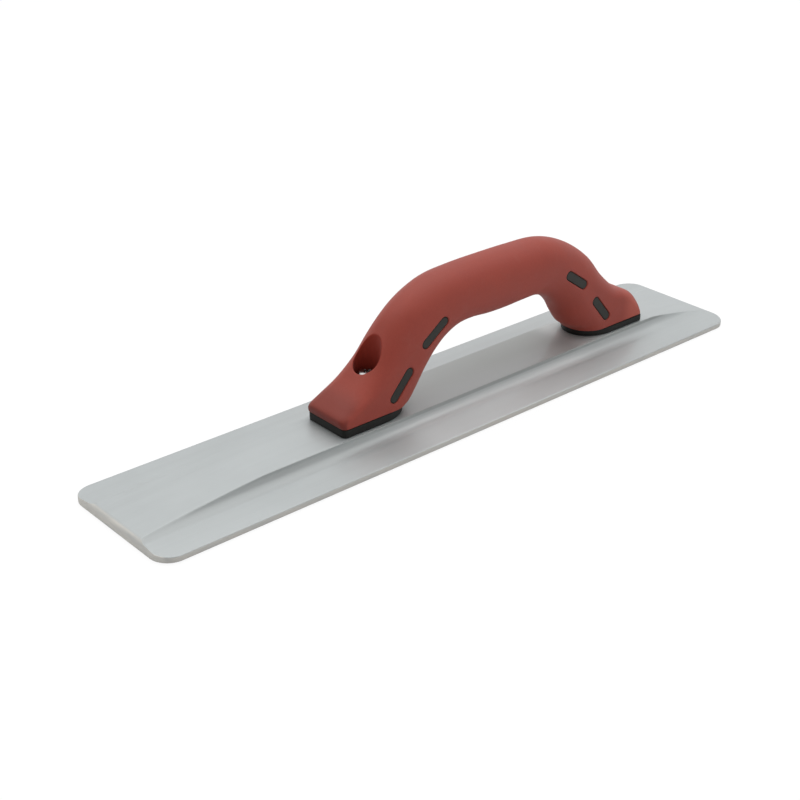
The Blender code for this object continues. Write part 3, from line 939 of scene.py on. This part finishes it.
class Patch:
    """A triangulated piece of the handle's surface, with rings of points laid in it."""

    def __init__(self, inset):
        self.inset = inset
        self.along, self.around, self.shift = [], [], []
        self.edges, self.holes = [], []
        self.total = 0

    def add(self, along, around, shift=None):
        ids = np.arange(self.total, self.total + len(along))
        self.along.append(np.asarray(along, float))
        self.around.append(np.asarray(around, float))
        self.shift.append(np.zeros((len(along), 3)) if shift is None else shift)
        self.total += len(along)
        return ids

    def ring(self, along, around, axis, drop):
        """A closed loop of points, moved by -drop along one axis."""
        shift = np.zeros((len(along), 3))
        shift[:, axis] = -drop
        ids = self.add(along, around, shift)
        self.edges += list(zip(ids.tolist(), np.roll(ids, -1).tolist()))
        return ids

    def line(self, ids):
        self.edges += list(zip(ids[:-1].tolist(), ids[1:].tolist()))

    def cut(self, along, around):
        """Leaves a hole inside a loop."""
        self.holes.append(flatten(along, around))

    def build(self, keep_inside=None, feet_rounded=False):
        along, around = np.concatenate(self.along), np.concatenate(self.around)
        flat = [Vector(point) for point in flatten(along, around)]
        result = delaunay_2d_cdt(flat, self.edges, [], 0, 1e-7, True)
        faces = np.array([face for face in result[2] if len(face) == 3])
        origin = np.array([source[0] if source else -1 for source in result[3]])
        if (origin < 0).any():
            raise RuntimeError("a new point appeared in the triangulation")
        coords = np.array([tuple(point) for point in result[0]])
        centre = coords[faces].mean(1)
        keep = np.ones(len(faces), bool)
        for hole in self.holes:
            near = (np.abs(centre - hole.mean(0)) < np.ptp(hole, axis=0) + 1.0).all(1)
            found = np.zeros(len(faces), bool)
            found[near] = inside(centre[near], hole)
            keep &= ~found
        if keep_inside is not None:
            keep &= inside(centre, keep_inside)
        faces = origin[faces[keep]]
        inset = foot_round(along) if feet_rounded else self.inset
        return skin(along, around, inset) + np.concatenate(self.shift), faces


# ---- soft grip --------------------------------------------------------------
def grip_lines():
    """`along` of the skin's cross lines, evenly spaced but closer together at the feet."""
    step = 0.9
    fine = np.linspace(SKIN_START, SKIN_END, 400)
    lines = arch_lines(fine)
    centre = (lines[:, :2] + lines[:, 2:]) / 2
    travel = np.linalg.norm(np.diff(centre, axis=0), axis=1)
    travel = np.maximum(travel, np.linalg.norm(np.diff(lines[:, :2], axis=0), axis=1))
    travel = np.concatenate([[0.0], np.cumsum(travel)])
    even = np.interp(np.linspace(0.0, travel[-1], int(travel[-1] / step)), travel, fine)
    even = even[(even - SKIN_START > 0.17) & (SKIN_END - even > 0.17)]
    close = np.array([0.012, 0.03, 0.055, 0.085, 0.125])
    ends = [SKIN_START, SKIN_END]
    return np.unique(np.concatenate([even, ends, SKIN_START + close, SKIN_END - close]))


def grip_surface(inset, lines, bore_radius, bore_steps, pad_steps, margin, feet_rounded):
    """One face of the skin: its points, faces, opening rings, and front and rear edges.

    The steps are offsets and drops of the rings round each opening; the margin keeps
    grid points away from them.
    """
    count = 96
    patch = Patch(inset)
    rings = {}
    for i, (x, stations) in enumerate(zip(SCREW_X, BORE_STATIONS)):
        for offset, drop in bore_steps:
            outline = oval(x, bore_radius + offset, count)
            along, around = locate(outline, BORE_VIEW, stations, inset)
            rings["bore", i] = patch.ring(along, around, 2, drop)
        patch.cut(along, around)
    for i, (pad, stations) in enumerate(zip(PADS, PAD_STATIONS)):
        for offset, drop in pad_steps:
            outline = stadium(pad, GAP + offset, count)
            along, around = locate(outline, PAD_VIEW, stations, inset)
            for side in (1, -1):
                rings["pad", i, side] = patch.ring(along, side * around, 1, side * drop)
        for side in (1, -1):
            patch.cut(along, side * around)

    around_lines = np.linspace(-1.0, 1.0, 2 * 54 + 1)
    along, around = np.meshgrid(lines, around_lines, indexing="ij")
    along, around = along.ravel(), around.ravel()
    x, y, z = skin(along, around, inset).T
    clear = np.ones(len(along), bool)
    reach = bore_radius + margin
    for bore_x, (low, high) in zip(SCREW_X, BORE_STATIONS):
        close = (along > low - 0.5) & (along < high + 0.5) & (np.abs(around) < 0.5)
        clear &= ~(close & (np.hypot((x - bore_x) / reach, y / (reach + BORE_WIDER)) < 1.0))
    # the pads' margin is the same, from their window's outline
    for pad, (low, high) in zip(PADS, PAD_STATIONS):
        close = (along > low - 0.5) & (along < high + 0.5) & (np.abs(y) > 8.0)
        clear &= ~(close & (pad_distance(pad, x, z) < GAP + margin))
    seam = np.abs(around) > 0.999
    clear |= seam | (along <= lines[0] + 1e-9) | (along >= lines[-1] - 1e-9)
    ids = np.full(len(along), -1)
    ids[clear] = patch.add(along[clear], around[clear])
    grid = ids.reshape(len(lines), len(around_lines))
    for border in (grid[:, 0], grid[:, -1], grid[0], grid[-1]):
        patch.line(border)
    verts, faces = patch.build(feet_rounded=feet_rounded)
    # the two sides of the seam are one line
    same = np.arange(len(verts))
    same[grid[:, -1]] = grid[:, 0]
    return verts, same[faces], rings, same[grid[0, :-1]], same[grid[-1, :-1]]


def bore_lining(x, start):
    """Rings from a bore's opening down to the seat, where the lining turns outwards."""
    bottom = FLOOR_Z + GAP
    levels = []
    for share in (0.12, 0.3, 0.5, 0.7, 0.9):
        level = start.copy()
        level[:, 2] = start[:, 2] + (bottom + 0.3 - start[:, 2]) * share / 0.9
        levels.append(level)
    angles = np.arctan2(start[:, 1] / (BORE_RADIUS + BORE_WIDER), (start[:, 0] - x) / BORE_RADIUS)
    for radius, z in (
        (BORE_RADIUS + 0.09, bottom + 0.09),
        (BORE_RADIUS + 0.3, bottom),
        (BORE_RADIUS + SLEEVE_WALL - 0.2, bottom),
        (BORE_RADIUS + SLEEVE_WALL, bottom + 0.2),
    ):
        across = (radius + BORE_WIDER) * np.sin(angles)
        level = [x + radius * np.cos(angles), across, np.full(len(angles), z)]
        levels.append(np.stack(level, axis=-1))
    return levels


def make_grip(material):
    """The soft skin: one closed shell with a lined bore over each screw and pad windows."""
    lines = grip_lines()
    outer, outer_faces, outer_rings, outer_front, outer_rear = grip_surface(
        inset=0.0,
        lines=lines,
        bore_radius=BORE_RADIUS,
        bore_steps=[(BORE_ROUND + 0.55, 0.0)] + rim_steps(BORE_ROUND, 8),
        pad_steps=[(WINDOW_ROUND + 0.45, 0.0)] + rim_steps(WINDOW_ROUND, 6),
        margin=BORE_ROUND + 0.95,
        feet_rounded=True,
    )
    inner, inner_faces, inner_rings, inner_front, inner_rear = grip_surface(
        inset=GRIP_WALL,
        lines=np.unique(np.concatenate([lines[::3], [SKIN_START, SKIN_END]])),
        bore_radius=BORE_RADIUS + SLEEVE_WALL,
        bore_steps=[(0.0, 0.0)],
        pad_steps=[(0.0, 0.0)],
        margin=0.6,
        feet_rounded=False,
    )
    base = len(outer)
    verts = [outer, inner]
    faces = [tuple(face) for face in outer_faces]
    faces += [tuple(face[::-1] + base) for face in inner_faces]
    total = base + len(inner)
    bands(faces, outer_front, inner_front + base)
    bands(faces, outer_rear, inner_rear + base)
    for key, ring in outer_rings.items():
        previous = ring
        if key[0] == "bore":
            for level in bore_lining(SCREW_X[key[1]], outer[ring]):
                verts.append(level)
                ids = np.arange(total, total + len(level))
                total += len(level)
                bands(faces, previous, ids)
                previous = ids
        bands(faces, previous, inner_rings[key] + base)
    verts = np.concatenate(verts)
    # drop the points that no face uses
    used = np.unique(np.concatenate([np.array(face) for face in faces]))
    place = np.full(len(verts), -1)
    place[used] = np.arange(len(used))
    faces = [tuple(place[list(face)]) for face in faces]
    return new_piece("soft_grip_skin", verts[used], faces, material, sharp=58.0)


# ---- core -------------------------------------------------------------------
def section_ring(station, inset, count, **shape):
    """One closed section ring of the handle."""
    around = -1.0 + 2.0 * np.arange(count) / count
    return skin(np.full(count, float(station)), around, inset, **shape)


def make_flange(station, high, half_width, end_lip, material):
    """An upright slab with the foot's outline and rounded edges."""
    count = 240
    low = RIB_HEIGHT + GAP
    levels = [(0.30, low), (0.09, low + 0.09), (0.0, low + 0.3)]  # inset, z
    levels += [
        (FLANGE_ROUND * (1 - math.cos(a)), high - FLANGE_ROUND + FLANGE_ROUND * math.sin(a))
        for a in np.linspace(0.0, math.pi / 2, 7)
    ]
    rings = []
    for inset, z in levels:
        ring = section_ring(
            station,
            inset,
            count,
            end_lip=end_lip,
            nose_back=FLANGE_NOSE_BACK,
            half_width=half_width,
            nose=FLANGE_NOSE,
        )
        ring[:, 2] = z
        rings.append(ring)
    return new_piece("flange", *tube_solid(rings), material)


def make_pad(pad, stations, side, material):
    """A stadium-shaped pad: its face follows the skin just below flush, with a rounded edge."""
    count = 96
    patch = Patch(PAD_RECESS)
    rings = []
    for offset, drop in reversed(rim_steps(PAD_ROUND, 6)):
        outline = stadium(pad, -offset, count)
        along, around = locate(outline, PAD_VIEW, stations, PAD_RECESS)
        ids = patch.ring(along, side * around, 1, side * drop)
        rings.append((ids, flatten(along, side * around)))
    rim, border = rings[0]
    # the face itself, with points every millimetre or so
    _, _, length, width, _ = pad
    a, b = np.meshgrid(
        np.arange(-length / 2, length / 2, 0.9), np.arange(-width / 2, width / 2, 0.9)
    )
    x, z = pad_place(pad, a.ravel(), b.ravel())
    on_face = pad_distance(pad, x, z) < -PAD_ROUND - 0.35
    targets = np.stack([x[on_face], z[on_face]], axis=-1)
    along, around = locate(targets, PAD_VIEW, stations, PAD_RECESS)
    patch.add(along, side * around)
    verts, faces = patch.build(keep_inside=border)
    faces = [tuple(face) for face in faces]
    root = verts[rim].copy()
    root[:, 1] = side * PAD_ROOT_Y
    ids = np.arange(len(verts), len(verts) + count)
    bands(faces, rim, ids)
    faces.append(tuple(ids))
    return new_piece("pad", np.concatenate([verts, root]), faces, material)


def make_core(material):
    """The rigid frame: the arch, a flange under each foot and the pads seen in the skin."""
    count = 96
    middle = np.arange(1.25, LAST - 1.0, 0.25)
    stations = np.concatenate([[0.0, 1.0], middle, [LAST - 1.0, LAST]])
    rings = [section_ring(station, GRIP_WALL + GAP, count) for station in stations]
    core = new_piece("core_frame", *tube_solid(rings), material)
    parts = [make_flange(*flange, material) for flange in FLANGES]
    for pad, pad_stations in zip(PADS, PAD_STATIONS):
        for side in (1, -1):
            parts.append(make_pad(pad, pad_stations, side, material))
    combine(core, "UNION", parts)
    well_radius = BORE_RADIUS + SLEEVE_WALL + GAP
    tools = [cylinder_tool(x, FLOOR_Z, 90.0, well_radius, wider=BORE_WIDER) for x in SCREW_X]
    tools += [cylinder_tool(x, 5.0, 40.0, CLEARANCE_RADIUS, segments=48) for x in SCREW_X]
    combine(core, "DIFFERENCE", tools)
    shade(core, 40.0)
    return core


# ---- fasteners --------------------------------------------------------------
def turned(name, profile, x, material, ring=False, sharp=35.0):
    """A solid of revolution from radius and height pairs; a ring joins its last to its first."""
    verts, faces = [], []
    rows = []
    for radius, z in profile:
        if radius < 1e-6:
            rows.append([len(verts)])
            verts.append((x, 0.0, z))
            continue
        rows.append(list(range(len(verts), len(verts) + TURNED_STEPS)))
        for k in range(TURNED_STEPS):
            angle = 2 * math.pi * k / TURNED_STEPS
            verts.append((x + radius * math.cos(angle), radius * math.sin(angle), z))
    pairs = list(zip(rows, rows[1:])) + ([(rows[-1], rows[0])] if ring else [])
    for a, b in pairs:
        for k in range(TURNED_STEPS):
            j = (k + 1) % TURNED_STEPS
            quad = (a[k % len(a)], a[j % len(a)], b[j % len(b)], b[k % len(b)])
            faces.append(tuple(dict.fromkeys(quad)))
    return new_piece(name, verts, faces, material, sharp)


def screw_profile(under, top):
    """Radius and height down the screw, from the top of its head to its tip."""
    rim = 0.55 * HEAD_HEIGHT
    head = [
        (HEAD_RADIUS * math.sin(angle), under + rim + (HEAD_HEIGHT - rim) * math.cos(angle))
        for angle in np.linspace(0.0, math.pi / 2, 14)
    ]
    head[0] = (0.0, top)
    neck = [
        (HEAD_RADIUS, under + 0.35),
        (HEAD_RADIUS - 0.12, under + 0.1),
        (HEAD_RADIUS - 0.4, under),
        (SHANK_RADIUS + 0.15, under),
        (SHANK_RADIUS, under - 0.15),
    ]
    thread = []
    root = SHANK_RADIUS - THREAD_DEPTH
    z = THREAD_TOP
    while z > SHANK_END + 1.2:
        thread += [(SHANK_RADIUS, z), (SHANK_RADIUS, z - 0.18), (root, z - 0.5), (root, z - 0.66)]
        z -= THREAD_PITCH
    tip = [(root, SHANK_END + 0.3), (SHANK_RADIUS - 0.8, SHANK_END), (0.0, SHANK_END)]
    return head + neck + thread + tip


def recess_tool(x, top, turn):
    """One tapered bar of the cross recess."""
    cos, sin = math.cos(turn), math.sin(turn)
    bm = bmesh.new()
    rings = []
    for span, width, z in ((1.15, 0.30, top - 1.9), (2.75, 0.62, top + 0.6)):
        corners = ((-span, -width), (span, -width), (span, width), (-span, width))
        rings.append(
            [
                bm.verts.new(((x + a * cos - b * sin) * MM, (a * sin + b * cos) * MM, z * MM))
                for a, b in corners
            ]
        )
    low, high = rings
    bm.faces.new(low)
    bm.faces.new(high)
    for k in range(4):
        j = (k + 1) % 4
        bm.faces.new((low[k], low[j], high[j], high[k]))
    bmesh.ops.recalc_face_normals(bm, faces=bm.faces)
    return object_from_bmesh("tool", bm)


def make_screw(name, x, material):
    """A pan head machine screw with a tapered cross recess and a ringed thread."""
    under = FLOOR_Z + 2 * GAP + WASHER_THICKNESS
    top = under + HEAD_HEIGHT
    screw = turned(name, screw_profile(under, top), x, material)
    combine(screw, "DIFFERENCE", [recess_tool(x, top, turn) for turn in (0.0, math.pi / 2)])
    shade(screw, 35.0)
    return screw


def make_washer(name, x, material):
    low = FLOOR_Z + GAP
    high = low + WASHER_THICKNESS
    hole, rim, r = WASHER_HOLE_RADIUS, WASHER_RADIUS, WASHER_ROUND
    profile = [
        (hole + r, high), (rim - r, high), (rim - 0.05, high - 0.05), (rim, high - r),
        (rim, low + r), (rim - 0.05, low + 0.05), (rim - r, low), (hole + r, low),
        (hole + 0.05, low + 0.05), (hole, low + r), (hole, high - r), (hole + 0.05, high - 0.05),
    ]
    return turned(name, profile, x, material, ring=True, sharp=50.0)


# ---- floor, light and camera ------------------------------------------------
def floor_material():
    """A white sweep to the camera; duller in the light it throws back."""
    mat = Material("pale_floor")
    tone = mat.remap(mat.noise(scale=3.0, detail=2.0), over=(0.3, 0.7))
    base = mat.mix(tone, rgb(0.90, 0.90, 0.90), rgb(0.92, 0.92, 0.92))
    seen = mat.add("BsdfDiffuse", {"Color": base}).outputs[0]
    glow = mat.add("Emission", {"Strength": 1.04}).outputs[0]
    # mix shader inputs: share of the second, first shader, second shader
    to_camera = mat.add("MixShader", {0: 0.88, 1: seen, 2: glow}).outputs[0]
    bounced = mat.add("BsdfDiffuse", {"Color": rgb(0.70, 0.70, 0.70)}).outputs[0]
    is_camera = mat.add("LightPath", {}).outputs["Is Camera Ray"]
    either = mat.add("MixShader", {0: is_camera, 1: bounced, 2: to_camera}).outputs[0]
    mat.tree.links.new(either, mat.tree.nodes["Material Output"].inputs["Surface"])
    mat.tree.nodes.remove(mat.shader)
    return mat.material


def make_floor():
    bm = bmesh.new()
    bmesh.ops.create_grid(bm, x_segments=4, y_segments=4, size=6.0)
    floor = object_from_bmesh("floor", bm)
    floor.location.z = -0.0004
    floor.data.materials.append(floor_material())


def make_world():
    """A room brighter behind the float than at the camera, and plain white when seen."""
    world = bpy.data.worlds.new("studio")
    world.use_nodes = True
    tree = world.node_tree
    room = tree.nodes["Background"]
    room.inputs["Color"].default_value = (0.97, 0.985, 1.0, 1.0)
    direction = add_node(tree, "TexCoord", {}).outputs["Generated"]
    bright_way = (0.62, 0.78, 0.0)
    behind = add_node(
        tree, "VectorMath", {0: direction, 1: bright_way}, operation="DOT_PRODUCT"
    )
    falloff = add_node(
        tree,
        "MapRange",
        {
            "Value": behind.outputs["Value"],
            "From Min": -0.5,
            "From Max": 0.9,
            "To Min": 0.27,
            "To Max": 0.86,
        },
        interpolation_type="SMOOTHSTEP",
    )
    tree.links.new(falloff.outputs["Result"], room.inputs["Strength"])
    white = {"Color": rgb(1.0, 1.0, 1.0), "Strength": 1.0}
    backdrop = add_node(tree, "Background", white).outputs[0]
    is_camera = add_node(tree, "LightPath", {}).outputs["Is Camera Ray"]
    both = add_node(tree, "MixShader", {0: is_camera, 1: room.outputs[0], 2: backdrop})
    tree.links.new(both.outputs[0], tree.nodes["World Output"].inputs["Surface"])
    bpy.context.scene.world = world


LIGHT_TARGET = Vector((0.03, 0.0, 0.03))


def area_light(name, size, power, place):
    light = bpy.data.lights.new(name, "AREA")
    light.shape = "RECTANGLE"
    light.size, light.size_y = size
    light.energy = power
    obj = add_object(name, light)
    obj.location = place
    obj.rotation_euler = (LIGHT_TARGET - Vector(place)).to_track_quat("-Z", "Y").to_euler()


def make_camera():
    camera = bpy.data.cameras.new("camera")
    camera.sensor_width = 36.0
    camera.lens = 64.026
    camera.shift_x = -0.00060
    camera.shift_y = 0.00050
    obj = add_object("camera", camera)
    right = Vector((0.74522, -0.66664, 0.01532))
    up = Vector((0.29610, 0.35142, 0.88816))
    forward = Vector((0.59747, 0.65734, -0.45928))
    place = Vector((-0.475682, -0.492118, 0.353169))
    obj.matrix_world = Matrix(
        (
            (right.x, up.x, -forward.x, place.x),
            (right.y, up.y, -forward.y, place.y),
            (right.z, up.z, -forward.z, place.z),
            (0.0, 0.0, 0.0, 1.0),
        )
    )
    bpy.context.scene.camera = obj


# ---- build everything -------------------------------------------------------
magnesium = magnesium_material()
red = grip_material()
black = plastic_material()
# painted shade: both zinc greys are darker than bare zinc, standing in for the shade deep in the
# bores; the washers' grey is darker still
screw_zinc_painted_dark = zinc_material("screw_zinc_painted_darker_as_shade", dark=0.34, pale=0.46, roughness=0.16)
washer_zinc_painted_dark = zinc_material("washer_zinc_painted_darker_as_shade", dark=0.16, pale=0.22, roughness=0.34)
FRONT_X, REAR_X = SCREW_X

# piece, the frame's node it replaces, its material slot
pieces = (
    (make_blade(magnesium), "blade", "blade_metal"),
    (make_grip(red), "grip_overmold", "soft_grip"),
    (make_core(black), "handle_core", "hard_plastic"),
    (make_screw("front_machine_screw", FRONT_X, screw_zinc_painted_dark), "front_screw", "fastener_zinc"),
    (make_screw("rear_machine_screw", REAR_X, screw_zinc_painted_dark), "rear_screw", "fastener_zinc"),
    (make_washer("front_flat_washer", FRONT_X, washer_zinc_painted_dark), "front_washer", "fastener_zinc"),
    (make_washer("rear_flat_washer", REAR_X, washer_zinc_painted_dark), "rear_washer", "fastener_zinc"),
)
for piece, node, slot in pieces:
    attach(piece, "root")
    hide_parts(node)

make_floor()
make_world()
area_light("overhead_softbox", size=(2.4, 2.0), power=19.5, place=(0.2, 0.15, 1.6))
area_light("side_fill", size=(1.4, 1.0), power=4.0, place=(0.4, -1.8, 0.6))
make_camera()
bpy.context.scene.view_settings.view_transform = "Standard"
